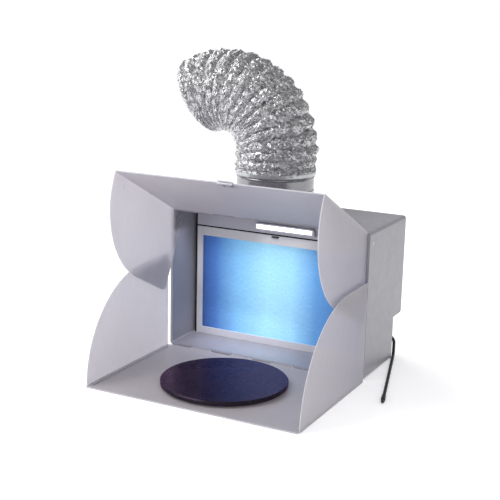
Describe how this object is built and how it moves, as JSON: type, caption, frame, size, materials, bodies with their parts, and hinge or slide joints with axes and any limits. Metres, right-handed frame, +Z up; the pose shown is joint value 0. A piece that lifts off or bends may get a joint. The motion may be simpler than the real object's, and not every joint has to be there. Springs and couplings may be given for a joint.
{
  "type": "airbrush spray booth",
  "caption": "Portable folding spray booth with a lit filter wall, hood and tray with side sheets, turntable, blower and a flexible foil outlet hose.",
  "frame": {"origin": "middle of the whole object's footprint, hose and cord included, at the height of the table", "axes": "+X to the booth's right seen from the front, +Y from the front to the back, +Z up"},
  "size_m": [0.5232, 0.4848, 0.586],
  "materials": {
    "clear_sheet": "translucent frosted polypropylene sheet",
    "shell_plastic": "fine matte moulded plastic",
    "white_plastic": "satin",
    "turntable_black": "fine grained, slightly glossy",
    "black_plastic": "satin",
    "black_rubber": "matte",
    "plain_steel": "zinc plated",
    "hose_foil": "bright crumpled foil",
    "filter_fibre": "soft polyester wadding",
    "lamp_lens": "diffusing lens, lit from behind",
    "circuit_board": "solder mask"
  },
  "bodies": {
    "booth": {"casing": "shell_plastic", "rear_cover": "shell_plastic", "rear_cover_screws": "plain_steel", "rubber_feet": "black_rubber", "hood_hinge_pin": "plain_steel", "tray_hinge_pin": "plain_steel", "wing_pins": "plain_steel", "filter_backing": "shell_plastic", "lamp_lintel": "white_plastic", "lamp_housing": "white_plastic", "lamp_board": "circuit_board", "lamp_lens": "lamp_lens", "filter_seal": "black_rubber", "blower_housing": "black_plastic", "blower_inlet_ring": "black_plastic", "blower_screws": "plain_steel", "motor": "plain_steel", "motor_screws": "plain_steel", "outlet_adapter": "shell_plastic", "adapter_screws": "plain_steel", "cord_recess": "shell_plastic", "switch_body": "black_plastic", "strain_relief": "black_rubber", "power_cord": "black_rubber", "dc_plug": "black_plastic", "power_board": "circuit_board", "board_spacers": "white_plastic"},
    "hood": {"hood_panel": "clear_sheet", "hood_latch": "shell_plastic", "latch_rivets": "plain_steel"},
    "left_wing": {"left_wing": "clear_sheet"},
    "right_wing": {"right_wing": "clear_sheet"},
    "tray": {"tray_panel": "clear_sheet", "left_fan": "clear_sheet", "right_fan": "clear_sheet", "fan_rivets": "white_plastic"},
    "turntable_foot": {"turntable_base": "turntable_black", "turntable_bearing": "white_plastic"},
    "turntable": {"turntable_disc": "turntable_black"},
    "filter": {"filter_frame": "white_plastic", "filter_pad": "filter_fibre", "filter_grille": "white_plastic", "filter_pull_tab": "black_plastic"},
    "rotor": {"impeller": "white_plastic", "motor_shaft": "plain_steel"},
    "duct": {"duct_collar": "hose_foil", "foil_hose": "hose_foil", "hose_clamp": "plain_steel", "clamp_screw": "plain_steel"},
    "rocker": {"switch_rocker": "black_plastic"}
  },
  "joints": [
    {"name": "hood_fold", "type": "hinge", "parent": "booth", "child": "hood", "pos_m": [-0.02108, 0.04523, 0.281], "axis": [-1, 0, 0], "range_deg": [-122, 0]},
    {"name": "left_wing_fold", "type": "hinge", "parent": "booth", "child": "left_wing", "pos_m": [-0.22328, 0.06513, 0.25901], "axis": [-1, 0, 0], "range_deg": [-117, 0]},
    {"name": "right_wing_fold", "type": "hinge", "parent": "booth", "child": "right_wing", "pos_m": [0.18112, 0.06513, 0.25901], "axis": [-1, 0, 0], "range_deg": [-117, 0]},
    {"name": "tray_fold", "type": "hinge", "parent": "booth", "child": "tray", "pos_m": [-0.02108, 0.04464, 0.0032], "axis": [1, 0, 0], "range_deg": [-46, 0]},
    {"name": "turntable_lift", "type": "slide", "parent": "tray", "child": "turntable_foot", "axis": [0, 0, 1], "range_m": [0, 0.012]},
    {"name": "turntable_spin", "type": "hinge", "parent": "turntable_foot", "child": "turntable", "pos_m": [-0.02108, -0.10737, 0.01], "axis": [0, 0, 1], "continuous": true},
    {"name": "filter_slide", "type": "slide", "parent": "booth", "child": "filter", "axis": [0, -1, 0], "range_m": [0, 0.05]},
    {"name": "impeller_spin", "type": "hinge", "parent": "booth", "child": "rotor", "pos_m": [-0.01568, 0.19364, 0.152], "axis": [0, 1, 0], "continuous": true},
    {"name": "duct_swivel", "type": "hinge", "parent": "booth", "child": "duct", "pos_m": [-0.05768, 0.15663, 0.33], "axis": [0, 0, 1], "range_deg": [-90, 90]},
    {"name": "power_rocker", "type": "hinge", "parent": "booth", "child": "rocker", "pos_m": [0.15932, 0.21863, 0.0685], "axis": [0, 0, 1], "range_deg": [-12, 0]}
  ],
  "couplings": [
    {"joint": "left_wing_fold", "follows": "hood_fold", "ratio": 0.95656},
    {"joint": "right_wing_fold", "follows": "hood_fold", "ratio": 0.95656}
  ]
}
